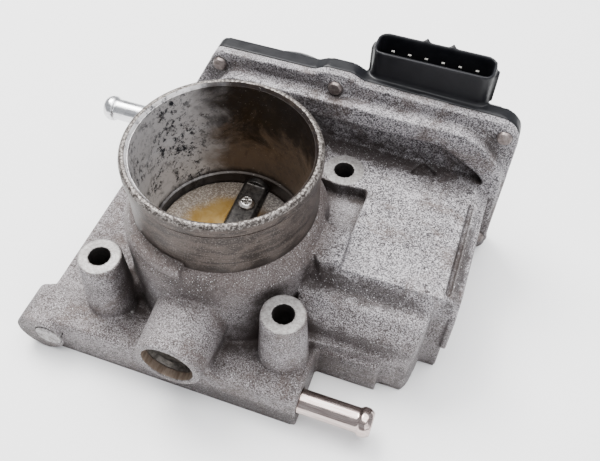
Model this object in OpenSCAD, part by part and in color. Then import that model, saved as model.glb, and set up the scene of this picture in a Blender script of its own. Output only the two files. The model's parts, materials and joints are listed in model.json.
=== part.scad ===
// Electronic throttle body: cast housing, butterfly valve on a cross shaft, two-stage gear drive,
// electric motor, plastic gear cover with a plug socket, and two coolant nipples.
// The bore runs along Z with the intake collar on top, and the mounting face is z = 0.
// The cross shaft, the gear axes and the motor all lie along Y, with the gear case on the +Y side.

/* [Bore and collar] */
// Radius of the throttle bore around the butterfly
bore_r = 25; // [24:0.5:25]
// Radius of the collar's inner wall at its mouth
mouth_r = 27.3; // [26.6:0.1:27.4]
// Outer radius of the collar below its bead
collar_r = 29.2; // [28.8:0.1:29.3]
// Outer radius of the bead at the collar's mouth
bead_r = 30; // [29.6:0.1:31]
// Height of the collar's rim above the mounting face
rim_z = 70.7; // [69:0.1:74]
// Height at which the collar meets the cast body
collar_base_z = 48; // [46:0.5:50]
// Height of the step where the throttle bore begins
bore_step_z = 31; // [31:0.5:34]

/* [Mounting] */
// Distance between mounting bolts, both ways
bolt_pitch = 60; // [58:0.5:61]
// Radius of each mounting bolt hole
bolt_hole_r = 3.3; // [3.1:0.1:3.6]
// Outer radius of each bolt boss at its top
boss_r = 7; // [6.5:0.1:7.5]
// Height of the bolt bosses
boss_z = 41; // [40:0.5:43]
// Thickness of the mounting plate
plate_t = 15; // [13:0.5:16]

/* [Throttle shaft] */
// Height of the cross shaft's axis
shaft_z = 25.2; // [25.2:0.1:25.6]
// Radius of the cross shaft
shaft_r = 5; // [4.8:0.1:5]
// Angle at which the butterfly rests, held open by its springs
rest_open = 5; // [3:1:6]
// Thickness of the butterfly
butterfly_t = 1.8; // [1.5:0.1:2]

/* [Gear train] */
// Tooth module of every gear
gear_m = 0.8; // [0.8:0.01:0.8]
// Teeth on the full circle of the sector gear
sector_teeth = 52; // [52:1:52]
// Teeth on the small ring of the idler
small_teeth = 24; // [24:1:24]
// Teeth on the large ring of the idler
large_teeth = 58; // [58:1:58]
// Teeth on the motor pinion
pinion_teeth = 16; // [16:1:16]
// Play between meshed teeth at the pitch circle
backlash = 0.24; // [0.2:0.02:0.36]

/* [Motor] */
// Distance of the motor axis from the bore axis along X
motor_x = 59; // [58.8:0.1:59.2]
// Height of the motor axis
motor_z = 20.5; // [20.3:0.1:20.8]
// Radius of the motor can
motor_r = 14; // [13.5:0.1:14.2]
// Length of the motor can
motor_len = 42; // [38:0.5:42]

/* [Gear case and cover] */
// Plane where the cast case meets its cover
parting_y = 47.5; // [47.3:0.1:47.7]
// Thickness of the case flange
flange_t = 3; // [2.6:0.1:3.2]
// Height of the case flange's top edge
case_top_z = 66; // [65:0.1:67]
// Height of its bottom edge
case_bottom_z = 0.5; // [0.4:0.1:0.8]
// Its right-hand edge
case_right_x = 83; // [82.6:0.1:84]
// Thickness of the cover's rim
rim_t = 5; // [4.5:0.1:5.5]

/* [Plug socket] */
// Centre of the plug socket along X
socket_x = 49.8; // [49.4:0.1:50.4]
// Outer width of the plug socket
socket_w = 39; // [38.4:0.2:40]
// Height of the socket's rim
socket_z = 76; // [75:0.5:80]
// Distance between pins
pin_pitch = 5.5; // [5:0.1:5.6]

/* [Coolant nipples] */
// Outer radius of the nipple tube
nipple_r = 4; // [3.8:0.1:4.2]
// Outer radius of the bead at its end
nipple_bead_r = 4.75; // [4.6:0.05:4.9]
// Length that stands out of the casting
nipple_out = 23.5; // [20:0.5:26]

/* [Hidden] */
$fn = 64;
eps = 0.01;

bolt_xy = bolt_pitch / 2;
web_z = 25;
rib_z = 46.2;
bolt_places = [for (x = [-1, 1], y = [-1, 1]) [x * bolt_xy, y * bolt_xy]];
plate_left = -52;
plate_right = 39.5;
plate_front = -45;

// Gear centres in the XZ plane, from the two centre distances.
stage1 = gear_m * (sector_teeth + small_teeth) / 2;
stage2 = gear_m * (large_teeth + pinion_teeth) / 2;
span_xz = [motor_x, motor_z - shaft_z];
span = norm(span_xz);
along = (stage1 * stage1 - stage2 * stage2 + span * span) / (2 * span);
rise = sqrt(stage1 * stage1 - along * along);
toward = span_xz / span;
idler_at = [0, shaft_z] + along * toward + rise * [-toward[1], toward[0]];
mesh1_angle = atan2(idler_at[1] - shaft_z, idler_at[0]);
mesh2_angle = atan2(motor_z - idler_at[1], motor_x - idler_at[0]);
pressure_angle = 25;

// Planes along Y.
flange_y = parting_y - flange_t;
deep_y = 39.4;
shallow_y = 45.3;
sector_y0 = 40.2;
sector_y1 = 44.6;
large_y0 = 46;
large_y1 = 49.4;
cover_in_y = 52;
cover_out_y = 54;
dome_y = 57.6;
socket_y0 = 50;
socket_y1 = 61.2;
socket_wall = 1.1;
pins_y = 56.3;

// Bearings and the boss around the shaft.
bearing_r = 8;
front_boss_y = -50;
front_boss_r = 10.7;
hub_r = 10;
spring_out_r = 13.4;
spring_y0 = 30.5;

// Coolant gallery.
right_y = -40.4;
seat_r = nipple_r - 0.4;
gallery_z = 10;
left_y = 39;
left_z = 30.5;
left_face_x = -43;
gallery_x = -46.5;

rivet_places = [[-20, 61.2], [21, 63], [77.5, 59.8], [79.8, 9], [-28.5, 20.8]];
motor_ears = [for (a = [50, 230]) [motor_x + 17 * cos(a), motor_z + 17 * sin(a)]];

// ---------- outlines and plain shapes ----------

function unit(v) = v / norm(v);
function turn(from, to) = let (d = to - from) d > 180 ? d - 360 : d < -180 ? d + 360 : d;
// Points of one rounded corner: a and b are its neighbours and p is the corner.
function corner(a, p, b, r, n) =
    let (u = unit(a - p), v = unit(b - p), half = acos(u * v) / 2,
        c = p + unit(u + v) * r / sin(half), s = p + u * r / tan(half) - c,
        e = p + v * r / tan(half) - c, a0 = atan2(s[1], s[0]), sweep = turn(a0, atan2(e[1], e[0])))
    [for (i = [0:n]) c + r * [cos(a0 + sweep * i / n), sin(a0 + sweep * i / n)]];
// A closed outline from corners [x, y, radius].
function rounded(corners, n = 6) =
    let (m = len(corners))
    [for (i = [0:m - 1])
        let (p = corners[i], a = corners[(i + m - 1) % m], b = corners[(i + 1) % m])
        each p[2] > 0 ? corner([a[0], a[1]], [p[0], p[1]], [b[0], b[1]], p[2], n) : [[p[0], p[1]]]];
function block(x0, y0, x1, y1, r) = [[x0, y0, r], [x1, y0, r], [x1, y1, r], [x0, y1, r]];

// Prisms along each axis. The outline is in X and Z for along_y, and in Y and Z for along_x.
module along_y(y0, y1) translate([0, y1, 0]) rotate([90, 0, 0]) linear_extrude(y1 - y0) children();
module along_x(x0, x1) translate([x0, 0, 0]) rotate([90, 0, 90]) linear_extrude(x1 - x0) children();
module along_z(z0, z1) translate([0, 0, z0]) linear_extrude(z1 - z0) children();
module rod_y(p, r, y0, y1) translate([p[0], y0, p[1]]) rotate([-90, 0, 0]) cylinder(h = y1 - y0, r = r);
module cone_y(p, r0, r1, y0, y1)
    translate([p[0], y0, p[1]]) rotate([-90, 0, 0]) cylinder(h = y1 - y0, r1 = r0, r2 = r1);
module rod_x(y, z, r, x0, x1) translate([x0, y, z]) rotate([0, 90, 0]) cylinder(h = x1 - x0, r = r);
module ring_y(p, r_out, r_in, y0, y1) difference() {
    rod_y(p, r_out, y0, y1);
    rod_y(p, r_in, y0 - 1, y1 + 1);
}
on_shaft = [0, shaft_z];
on_motor = [motor_x, motor_z];

// Outline of the case flange and the cover's rim, grown by g.
function case_outline(g) = rounded([[-21.5 - g * 0.7, case_top_z + g, 3], [12.5 - g, case_top_z + g, 4],
    [16.5, case_top_z + 2 + g, 4], [25.5, case_top_z + 2 + g, 4], [29.5 + g, case_top_z + g, 4],
    [case_right_x - 1 + g, case_top_z - 1.4 + g, 7.5], [case_right_x + g, case_bottom_z - g, 5],
    [-33 - g, case_bottom_z - g, 6], [-33 - g, 44, 14]]);
// Outline of the gear chamber, grown by g.
function chamber_outline(g) = rounded([[-13, 56.5 + g, 9], [64, 56.5 + g, 14], [75 + g, 45, 12],
    [75 + g, 3.2 - g, 4], [-24 - g, 3.2 - g, 5], [-25 - g, 42, 14]]);

// ---------- gear teeth ----------

function involute(a) = tan(a) - a * PI / 180;
// Half angle of a tooth at radius rho.
function half_angle(rho, base_r, at_pitch) =
    at_pitch + (involute(pressure_angle) - involute(acos(min(1, base_r / rho)))) * 180 / PI;
// One tooth as [radius, angle], anticlockwise from its lower root.
function tooth(teeth, n = 3) =
    let (pitch_r = gear_m * teeth / 2, base_r = pitch_r * cos(pressure_angle),
        tip_r = pitch_r + 0.95 * gear_m, root_r = pitch_r - 1.25 * gear_m,
        at_pitch = 90 / teeth - backlash / 4 / pitch_r * 180 / PI, low = max(base_r, root_r + 0.05),
        side = [for (i = [0:n]) let (rho = low + (tip_r - low) * i / n)
            [rho, half_angle(rho, base_r, at_pitch)]])
    concat([[root_r, -side[0][1]]], [for (s = side) [s[0], -s[1]]],
        [for (i = [n:-1:0]) side[i]], [[root_r, side[0][1]]]);
function tooth_points(teeth, phase, first, last) =
    [for (k = [first:last]) each [for (t = tooth(teeth)) let (a = t[1] + phase + k * 360 / teeth)
        t[0] * [cos(a), sin(a)]]];
module gear_y(p, teeth, phase, y0, y1)
    translate([p[0], 0, p[1]]) along_y(y0, y1) polygon(tooth_points(teeth, phase, 0, teeth - 1));

// ---------- cast housing ----------

module mounting_plate() {
    along_z(0, plate_t) polygon(rounded([[plate_left, plate_front, 4], [plate_right, plate_front, 1.5],
        [plate_right, -24.5, 0], [60, -24.5, 0], [60, 44, 0], [plate_left + 8, 44, 6],
        [plate_left, 34, 8]]));
    // thicker run along the front for the coolant gallery
    along_x(plate_left + 3, plate_right) polygon(rounded([[-30, 0.5, 0], [plate_front, 0.5, 0],
        [plate_front, 16.6, 1.5], [-36, 17.4, 0], [-30, 15, 0]]));
    // boss at the front left corner, which the gallery is drilled through
    rod_y([-50, 9], 8.4, -47, -32);
    along_y(-40, -30) polygon(rounded(block(-56, 0.4, -44, 14, 4)));
}

module bore_body() {
    cylinder(h = 42, r = 33);
    translate([0, 0, 42]) cylinder(h = collar_base_z - 42, r1 = 33, r2 = collar_r + 1);
    cylinder(h = 22, r1 = 36, r2 = 33);
}

module collar() rotate_extrude() polygon([[bore_r - 3, 20], [collar_r, 20], [collar_r, rim_z - 5.4],
    [collar_r - 0.5, rim_z - 5.2], [collar_r - 0.5, rim_z - 4.6], [bead_r - 0.4, rim_z - 4.4],
    [bead_r, rim_z - 3.9], [bead_r, rim_z - 0.9], [bead_r - 0.9, rim_z], [bore_r - 3, rim_z]]);

module bore_hole() rotate_extrude() polygon([[0, -1], [bore_r, -1], [bore_r, bore_step_z],
    [bore_r + 0.8, bore_step_z + 0.4], [mouth_r - 0.3, collar_base_z + 4],
    [mouth_r, rim_z - 0.8], [mouth_r + 0.6, rim_z], [mouth_r + 0.6, rim_z + 1], [0, rim_z + 1]]);

module bolt_boss(p) {
    translate([p[0], p[1], 0]) {
        cylinder(h = boss_z, r = boss_r);
        cylinder(h = boss_z - 2, r1 = boss_r + 2, r2 = boss_r);
    }
    // web back to the bore body
    rotate([0, 0, atan2(p[1], p[0])]) translate([24, -3.5, 0]) cube([norm(p) - 26, 7, web_z]);
}

module shaft_boss() {
    cone_y(on_shaft, front_boss_r, front_boss_r + 1.8, front_boss_y, -24);
    along_y(plate_front + 0.5, -24) polygon([[-front_boss_r - 2, 0.5], [front_boss_r + 2, 0.5],
        [front_boss_r - 0.4, shaft_z - 3], [-front_boss_r + 0.4, shaft_z - 3]]);
}

module motor_housing() {
    along_y(-9, flange_y) polygon(rounded([[39.6, 0.3, 0], [77, 0.3, 1], [77, 41, 3.5], [39.6, 41, 1]]));
    // slope and rounded nose over the front of the motor
    intersection() {
        along_x(30, 71) polygon(rounded([[-21.6, 0.3, 0], [4, 0.3, 0], [4, 41, 0], [-8.6, 41, 1],
            [-11.6, 33.6, 1.5], [-15.8, 32.6, 3], [-21, 25.5, 6], [-21.6, 17, 0]]));
        along_z(0, 60) polygon(rounded([[28, -25, 0], [68.6, -25, 9], [71.6, -8, 6], [71.6, 5, 0],
            [28, 5, 0]]));
    }
    // lower shelf to the right of the mounting plate
    along_z(2.5, 19.5) polygon(rounded([[34, -24.6, 0], [65.2, -22, 4], [68.8, -16.6, 2.5],
        [70, -10.4, 1.5], [75.4, -8.8, 3.5], [77, -2, 0], [77, 6, 0], [34, 6, 0]]));
    // cast floor between the collar and the motor chamber
    along_z(0.3, 36) polygon([[26, -8], [42, -8], [42, 26], [26, 26]]);
    // rib along the parting line
    along_x(76.5, 78.4) polygon(rounded([[-10, 14, 1], [-10, 31, 4], [-5, 38.6, 3], [flange_y, 38.6, 0],
        [flange_y, 36.8, 0], [-4, 36.8, 2], [-8, 30, 3], [-8, 14, 1]]));
}

module gear_case() {
    along_y(flange_y, parting_y) polygon(case_outline(0));
    // floor of the case in front of the flange
    along_y(43.4, flange_y + eps) polygon(chamber_outline(2.2));
    along_y(35.4, flange_y + eps) polygon(rounded(block(-27, 0.6, 60, 40.5, 5)));
    rod_y(on_shaft, 24.8, 30, flange_y + eps);
    // ridge that follows the top of the flange and turns down its right side
    along_y(39.4, flange_y + eps) difference() {
        polygon(rounded([[-17, 60.6, 8], [69, 60.6, 16], [81, 48, 16], [81.4, 22, 4], [60, 22, 0],
            [60, 40, 0], [-29, 40, 0]]));
        polygon(rounded([[-40, 52.4, 0], [59, 53.6, 12], [75, 44, 12], [79.4, 21, 0], [40, 21, 0],
            [-40, 30, 0]]));
    }
    for (p = rivet_places) cone_y(p, 3.3, 3.9, flange_y - 0.5, flange_y + eps);
    // web between the bore body and the case
    along_z(0.4, boss_z) polygon([[8, 26], [30, 23.2], [41, 24.4], [44, 44], [8, 44]]);
    along_z(0.4, 40) polygon([[-8, 26], [-31, 30], [-29, 43.5], [-8, 43.5]]);
}

module left_nipple_boss() {
    rod_x(left_y, left_z, 7, left_face_x, -22);
    along_z(0.4, left_z) polygon(rounded([[left_face_x - 6, 32, 3], [-24, 32, 0], [-24, 44, 0],
        [left_face_x - 6, 44, 3]]));
}

module inlet_pad() along_z(22, 43.8) polygon([[29, -6], [34.6, -10.7], [40.9, -9.4], [40.3, 3.6],
    [30, 4.6]]);
module collar_rib() rotate([0, 0, 231]) rotate_extrude(angle = 37) translate([collar_r - 0.9, rib_z])
    polygon([[0, 0], [4, 0], [5, 1], [5, 3.2], [4, 4.4], [0, 4.4]]);

module shaft_way() {
    rod_y(on_shaft, shaft_r + 0.5, front_boss_y - 1, 45);
    rod_y(on_shaft, bearing_r, front_boss_y - 1, -33);
    rod_y(on_shaft, bearing_r + 0.5, front_boss_y - 1, -44.4);
    rod_y(on_shaft, bearing_r, 27, 45);
    rod_y(on_shaft, spring_out_r, 37.6, 45);
    ring_y(on_shaft, spring_out_r, hub_r, spring_y0, 38);
}

module chamber() {
    along_y(shallow_y, parting_y + 1) polygon(chamber_outline(0));
    rod_y(on_shaft, 22.4, deep_y, parting_y);
    rod_y(idler_at, 12, deep_y, parting_y);
    along_y(deep_y, parting_y) polygon(rounded(block(-22, 3.2, 74, 37.6, 4)));
    rod_y(on_motor, motor_r + 0.3, deep_y - motor_len, deep_y + 1);
    rod_y(on_motor, 4.6, deep_y - motor_len - 4.2, deep_y);
    rod_y(idler_at, 2.5, 35.6, deep_y + 1);
    for (p = motor_ears) rod_y(p, 1.6, 31, deep_y + 1);
    translate([-16, 42.4, -1]) cylinder(h = 8, r = 2);
}

module gallery() {
    rod_x(right_y, gallery_z, 2.6, gallery_x, plate_right + 1);
    rod_y([gallery_x, gallery_z], 2.6, -48, left_y);
    rod_x(left_y, gallery_z, 2.6, gallery_x, -38);
    translate([-39, left_y, gallery_z - 2.6]) cylinder(h = left_z - gallery_z + 2.6, r = 2.6);
    rod_x(right_y, gallery_z, seat_r, plate_right - 9, plate_right + 1);
    rod_x(left_y, left_z, seat_r, left_face_x - 1, left_face_x + 9);
    rod_x(left_y, left_z, nipple_r + 0.4, left_face_x - 8, left_face_x);
    rod_y([gallery_x, gallery_z], 4.5, -48, -43);
}

module housing() color([0.62, 0.61, 0.6]) difference() {
    union() {
        mounting_plate();
        bore_body();
        collar();
        for (p = bolt_places) bolt_boss(p);
        shaft_boss();
        motor_housing();
        gear_case();
        left_nipple_boss();
        inlet_pad();
        collar_rib();
    }
    bore_hole();
    for (p = bolt_places) translate([p[0], p[1], -1]) cylinder(h = boss_z + 2, r = bolt_hole_r);
    shaft_way();
    chamber();
    gallery();
    for (p = rivet_places) rod_y(p, 1.6, 41, parting_y + 1);
    // seal groove in the mounting face
    difference() {
        translate([0, 0, -1]) cylinder(h = 3, r = 29.8);
        translate([0, 0, -2]) cylinder(h = 5, r = 27.6);
    }
    // pocket between the collar and the motor chamber
    along_z(36, 60) polygon(rounded([[30.4, 5.2, 1.5], [39.6, 5.2, 1.5], [40.4, 23, 1.5],
        [30.4, 23, 1.5]]));
    // notch where the shelf meets the wall
    along_z(38.8, 44) polygon(rounded([[50.6, 35.8, 1], [61, 38.8, 1], [54.4, 43.4, 1]]));
    // groove beside the parting-line rib
    along_z(39.4, 44) polygon(rounded(block(73, -7.6, 74.6, 30, 0.6)));
    // room for the rivet heads
    for (p = rivet_places) rod_y(p, 3, flange_y - 4, flange_y - 0.5);
}

module gallery_plug() color([0.66, 0.65, 0.63])
    rod_y([gallery_x, gallery_z], 4.5, -47.2, -43);

module mounting_seal() color([0.08, 0.08, 0.08]) difference() {
    cylinder(h = 1.9, r = 29.6);
    translate([0, 0, -1]) cylinder(h = 4, r = 27.8);
}

// ---------- bearings, seals and fittings of the housing ----------

module front_bearing() color([0.55, 0.55, 0.56]) ring_y(on_shaft, bearing_r, shaft_r + 0.04, -44.2, -33);
module rear_bearing() color([0.6, 0.6, 0.62]) ring_y(on_shaft, bearing_r, shaft_r + 0.04, 30, 37);
module rear_shaft_seal() color([0.1, 0.1, 0.1]) ring_y(on_shaft, bearing_r, shaft_r + 0.08, 27, 29.8);

module front_bearing_cap() color([0.2, 0.19, 0.18]) difference() {
    rod_y(on_shaft, bearing_r + 0.5, -47, -44.4);
    cone_y(on_shaft, bearing_r - 0.1, bearing_r - 0.9, -47.4, -45.4);
}

// Tube with a rolled bead, standing on its inner end along Z.
module nipple() rotate_extrude() polygon([[2.7, 0], [seat_r, 0], [seat_r, 9], [nipple_r, 9],
    [nipple_r, nipple_out + 4.6], [nipple_bead_r, nipple_out + 5.4], [nipple_bead_r, nipple_out + 7.4],
    [nipple_r, nipple_out + 9], [2.7, nipple_out + 9]]);
module coolant_nipple_right() color([0.72, 0.69, 0.67])
    translate([plate_right - 9, right_y, gallery_z]) rotate([0, 90, 0]) nipple();
module coolant_nipple_left() color([0.75, 0.75, 0.76])
    translate([left_face_x + 9, left_y, left_z]) rotate([0, -90, 0]) nipple();

module idler_pin() color([0.7, 0.7, 0.72]) rod_y(idler_at, 2.5, 35.6, 51.4);

module closed_stop_screw() color([0.5, 0.5, 0.5]) difference() {
    translate([-16, 42.4, 0.6]) cylinder(h = shaft_z - 6.6, r = 2);
    translate([-16, 42.4, 0]) cylinder(h = 2.6, r = 1, $fn = 6);
}

// Torsion spring wound along Y, from start to end angle with its two tangs.
spring_turns = 4.6;
spring_steps = 20;
function coil_point(i) = let (a = i * 360 / spring_steps)
    [11.7 * cos(a), spring_y0 + 0.9 + 1.65 * i / spring_steps, 11.7 * sin(a)];
// Ring of the wire's section at step i, in the plane through the coil's axis.
function wire_ring(i, sides = 8) = let (a = i * 360 / spring_steps, c = coil_point(i))
    [for (k = [0:sides - 1]) let (b = k * 360 / sides)
        c + 0.68 * [cos(b) * cos(a), sin(b), cos(b) * sin(a)]];
module return_spring() color([0.35, 0.35, 0.36]) translate([0, 0, shaft_z]) {
    last = round(spring_turns * spring_steps);
    sides = 8;
    polyhedron(points = [for (i = [0:last]) each wire_ring(i, sides)],
        faces = concat([[for (k = [0:sides - 1]) k]],
            [for (i = [0:last - 1], k = [0:sides - 1]) let (m = (k + 1) % sides)
                [i * sides + k, (i + 1) * sides + k, (i + 1) * sides + m, i * sides + m]],
            [[for (k = [sides - 1:-1:0]) last * sides + k]]));
}

// ---------- motor ----------

module motor_can() color([0.55, 0.55, 0.55]) difference() {
    union() {
        rod_y(on_motor, motor_r, deep_y - motor_len + 1.2, deep_y);
        rod_y(on_motor, 4.3, deep_y - motor_len - 2.4, deep_y - motor_len + 2);
    }
    rod_y(on_motor, motor_r - 1.2, deep_y - motor_len + 3.2, deep_y + 1);
    rod_y(on_motor, 1.65, deep_y - motor_len - 3, deep_y);
}

module motor_magnets() color([0.16, 0.16, 0.17]) difference() {
    rod_y(on_motor, motor_r - 1.2, 6, 30);
    rod_y(on_motor, motor_r - 3.2, 5, 31);
    for (s = [-1, 1]) translate([motor_x + s * 12.4 - 4, 5, motor_z - 3]) cube([8, 26, 6]);
}

module motor_end_plate() color([0.12, 0.12, 0.13]) difference() {
    union() {
        rod_y(on_motor, motor_r, deep_y, deep_y + 2.2);
        for (p = motor_ears) rod_y(p, 3.4, deep_y, deep_y + 2.2);
        rod_y(on_motor, 4, deep_y, deep_y + 4);
        for (s = [-1, 1]) translate([motor_x + s * 6.6 - 1.8, 34.2, motor_z - 3.2])
            cube([3.6, deep_y - 34.2 + 1, 6.4]);
    }
    rod_y(on_motor, 1.65, deep_y - 1, deep_y + 5);
    for (p = motor_ears) rod_y(p, 1.6, deep_y - 1, deep_y + 3);
    for (s = [-1, 1]) translate([motor_x + s * 6.6 - 3, 35, motor_z - 2]) cube([6, 3, 4]);
}

module motor_brushes() color([0.2, 0.2, 0.2]) for (s = [-1, 1])
    translate([motor_x + s * 6.3 - 1.9, 35, motor_z - 2]) cube([3.8, 3, 4]);

module motor_screws() color([0.7, 0.7, 0.7]) for (p = motor_ears) {
    rod_y(p, 1.6, 31.5, deep_y + 2.2);
    difference() {
        rod_y(p, 2.8, deep_y + 2.2, deep_y + 4.2);
        for (a = [0, 90]) translate([p[0], deep_y + 4.2, p[1]]) rotate([0, a, 0]) cube([3, 2, 0.7], center = true);
    }
}

module motor_terminals() color([0.75, 0.72, 0.6]) for (s = [-1, 1])
    translate([motor_x + s * 4 + 3.6, deep_y + 2.2, 7.4]) cube([0.8, 7, 4]);

// ---------- cover ----------

module socket_outline(g) polygon(rounded(block(socket_x - socket_w / 2 - g, socket_y0 - g,
    socket_x + socket_w / 2 + g, socket_y1 + g, 3.4 + g)));

module terminal_bars() for (i = [0:5])
    translate([socket_x + (i - 2.5) * pin_pitch - 0.5, pins_y - 0.4, 58]) cube([1, 0.8, socket_z - 3 - 58]);

module gear_cover() color([0.07, 0.07, 0.08]) difference() {
    union() {
        along_y(parting_y, parting_y + rim_t) polygon(case_outline(0));
        along_y(parting_y + rim_t - eps, cover_out_y) polygon(case_outline(-1.2));
        cone_y([4.5, 42], 23, 20.5, cover_out_y - eps, dome_y);
        along_y(cover_out_y - eps, dome_y - 0.4) polygon(rounded(block(-14.5, 10, 19.5, 45, 6)));
        cone_y([25.5, 58], 6.5, 5.5, cover_out_y - eps, 56.4);
        along_y(cover_out_y - eps, 55.4) polygon(rounded([[16, 52, 8], [60, 50, 14],
            [72, 36, 10], [72, 8, 8], [16, 8, 5]]));
        // plug socket, its neck and its latch ribs
        along_z(60, socket_z) socket_outline(0);
        along_z(55, 60 + eps) polygon(rounded(block(socket_x - 16, 52.6, socket_x + 16, 59, 3)));
        for (x = [socket_x - socket_w / 2 - 1.2, socket_x + socket_w / 2 - 0.4])
            translate([x, 54, 64.5]) cube([1.6, 3, socket_z - 66]);
        for (x = [45.2, 53.8]) translate([x, socket_y1 - 0.4, 66]) cube([1.1, 1.6, socket_z - 65.4]);
    }
    along_y(parting_y - 1, cover_in_y) polygon(chamber_outline(-0.2));
    // room for the shaft end and the sensor
    along_y(cover_in_y - 1, 55.6) polygon(rounded(block(-11, 13.5, 16, 42, 4)));
    rod_y(idler_at, 2.5, 50, 53);
    for (p = rivet_places) rod_y(p, 1.6, parting_y - 1, 51.2);
    // seal groove
    along_y(parting_y - 1, 48.7) difference() {
        polygon(chamber_outline(1.5));
        polygon(chamber_outline(0.5));
    }
    along_z(64.6, socket_z + 1) socket_outline(-socket_wall);
    terminal_bars();
}

module cover_gasket() color([0.25, 0.12, 0.08]) along_y(parting_y, 48.7) difference() {
    polygon(chamber_outline(1.45));
    polygon(chamber_outline(0.55));
}

module cover_rivets() color([0.5, 0.48, 0.46]) for (p = rivet_places) {
    rod_y(p, 1.6, flange_y - 0.5, 51.2);
    cone_y(p, 2.1, 2.6, flange_y - 1.7, flange_y - 0.5);
}

module connector_pins() color([0.8, 0.8, 0.8]) terminal_bars();

module position_sensor_board() color([0.1, 0.3, 0.16]) {
    translate([-8, 54, 17]) cube([21, 1.5, 22]);
    translate([-3, 52.4, shaft_z - 3]) cube([6, 1.6, 6]);
}

// ---------- throttle: shaft, butterfly and sector ----------

// Turns its children from the closed position to the resting angle.
module opened() translate([0, 0, shaft_z]) rotate([0, rest_open, 0]) children();

module throttle_shaft() color([0.1, 0.1, 0.11]) difference() {
    union() {
        rod_y(on_shaft, shaft_r, -44.1, 39.6);
        rod_y(on_shaft, 4, 39.6, 46);
    }
    opened() {
        translate([-8, -24.8, -butterfly_t / 2]) cube([16, 49.6, butterfly_t]);
        translate([-8, -23, 3.5]) cube([16, 46, 4]);
        for (s = [-1, 1]) translate([0, 14 * s, -6]) cylinder(h = 12, r = 1.5);
    }
}

module butterfly_plate() color([0.6, 0.52, 0.3]) opened() difference() {
    translate([0, 0, -butterfly_t / 2]) cylinder(h = butterfly_t, r = bore_r - 0.25);
    for (s = [-1, 1]) translate([0, 14 * s, -6]) cylinder(h = 12, r = 1.5);
}

module plate_screws() color([0.75, 0.75, 0.76]) opened() for (s = [-1, 1]) translate([0, 14 * s, 0])
    difference() {
        union() {
            translate([0, 0, -4.4]) cylinder(h = 8, r = 1.5);
            translate([0, 0, 3.5]) cylinder(h = 0.9, r = 2.9);
            translate([0, 0, 4.4]) cylinder(h = 0.8, r1 = 2.9, r2 = 1.9);
        }
        for (a = [20, 110]) rotate([0, 0, a]) translate([-1.6, -0.4, 3.9]) cube([3.2, 0.8, 3]);
    }

// Teeth that the idler meets between the stops, with two to spare at each end.
sector_first = -3;
sector_last = 14;

module sector_gear() color([0.82, 0.8, 0.72]) difference() {
    union() {
        translate([0, 0, shaft_z]) along_y(sector_y0, sector_y1)
            polygon(concat([[0, 0]], tooth_points(sector_teeth, mesh1_angle, sector_first, sector_last)));
        rod_y(on_shaft, 8.5, sector_y0, 45.2);
        // arm that meets the closed stop
        along_y(sector_y0, sector_y1) polygon(rounded(block(-19.5, shaft_z - 3, 2, shaft_z + 3.5, 2)));
    }
    rod_y(on_shaft, 4, sector_y0 - 1, 46);
    for (k = [0:2]) let (a = mesh1_angle + 8 + k * 32)
        rod_y([13.6 * cos(a), shaft_z + 13.6 * sin(a)], 2.8, sector_y0 - 1, 46);
}

module sector_retaining_ring() color([0.4, 0.4, 0.42]) ring_y(on_shaft, 5.2, 4, 45.2, 46);
module sensor_magnet() color([0.22, 0.22, 0.24]) rod_y(on_shaft, 4.6, 46, 49);

// ---------- idler ----------

module idler_gear() color([0.85, 0.84, 0.78]) difference() {
    union() {
        gear_y(idler_at, small_teeth, mesh1_angle + 180 + 180 / small_teeth, sector_y0, 45.8);
        gear_y(idler_at, large_teeth, mesh2_angle, large_y0, large_y1);
        rod_y(idler_at, 8.4, 45, 50.2);
    }
    rod_y(idler_at, 3.6, sector_y0 - 1, 51);
    for (k = [0:5]) rod_y(idler_at + 15.6 * [cos(60 * k), sin(60 * k)], 4, large_y0 - 1, large_y1 + 1);
}

module idler_bush() color([0.72, 0.58, 0.3]) ring_y(idler_at, 3.6, 2.55, sector_y0 - 0.3, 50.4);

// ---------- motor rotor ----------

module motor_shaft() color([0.7, 0.7, 0.72]) rod_y(on_motor, 1.6, deep_y - motor_len - 2.4, 50.6);
module motor_pinion() color([0.7, 0.6, 0.35]) difference() {
    gear_y(on_motor, pinion_teeth, mesh2_angle + 180 + 180 / pinion_teeth, 45, 50.2);
    rod_y(on_motor, 1.6, 44, 51);
}
module motor_armature() color([0.6, 0.36, 0.2]) difference() {
    rod_y(on_motor, 9.9, 6, 30);
    rod_y(on_motor, 1.6, 5, 31);
    for (k = [0:6]) let (a = k * 360 / 7)
        rod_y([motor_x + 9.4 * cos(a), motor_z + 9.4 * sin(a)], 1.4, 5, 31);
}
module motor_commutator() color([0.7, 0.42, 0.25]) ring_y(on_motor, 4, 1.6, 31, 38.6);

housing();
gallery_plug();
mounting_seal();
front_bearing();
rear_bearing();
rear_shaft_seal();
front_bearing_cap();
coolant_nipple_right();
coolant_nipple_left();
idler_pin();
closed_stop_screw();
return_spring();
motor_can();
motor_magnets();
motor_end_plate();
motor_brushes();
motor_screws();
motor_terminals();
gear_cover();
cover_gasket();
cover_rivets();
connector_pins();
position_sensor_board();
throttle_shaft();
butterfly_plate();
plate_screws();
sector_gear();
sector_retaining_ring();
sensor_magnet();
idler_gear();
idler_bush();
motor_shaft();
motor_pinion();
motor_armature();
motor_commutator();
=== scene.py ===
"""Finished look of an electronic throttle body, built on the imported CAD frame."""
import json
import logging
import math
from dataclasses import dataclass, field
from enum import Enum
from typing import Sequence

import bmesh
import bpy
import numpy as np
from mathutils import Matrix, Vector


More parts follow.
